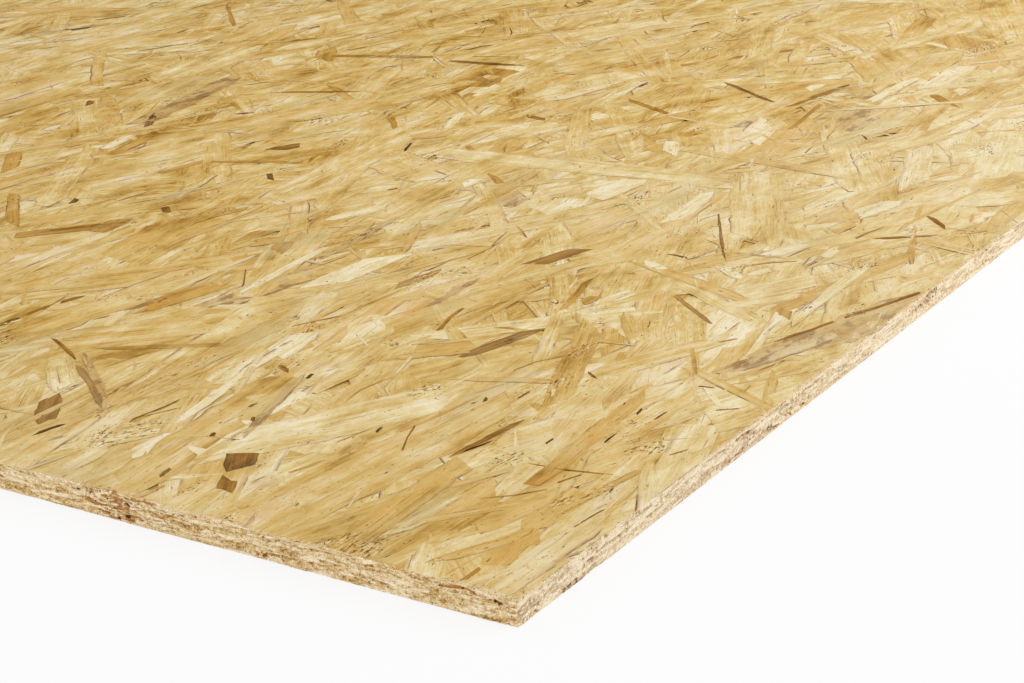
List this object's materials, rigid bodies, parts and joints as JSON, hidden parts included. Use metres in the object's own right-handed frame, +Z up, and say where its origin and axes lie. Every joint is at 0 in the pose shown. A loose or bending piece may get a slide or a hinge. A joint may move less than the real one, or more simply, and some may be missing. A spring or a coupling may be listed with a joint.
{
  "type": "oriented strand board sheet",
  "caption": "Flat rectangular sheet of pressed, resin-bonded wood strands with square sawn edges, for sheathing, flooring and packing.",
  "frame": {"origin": "centre of the underside, on the floor that the sheet lies on", "axes": "+X along the 2440 mm length and the main run of the face strands, +Y across the 1220 mm width, +Z up through the thickness"},
  "size_m": [2.44, 1.22, 0.009],
  "materials": {
    "strand_board": "pressed softwood strands, raw, with a faint resin and wax sheen on the faces and rough sawn edges"
  },
  "bodies": {
    "root": {"board": "strand_board"}
  },
  "joints": []
}
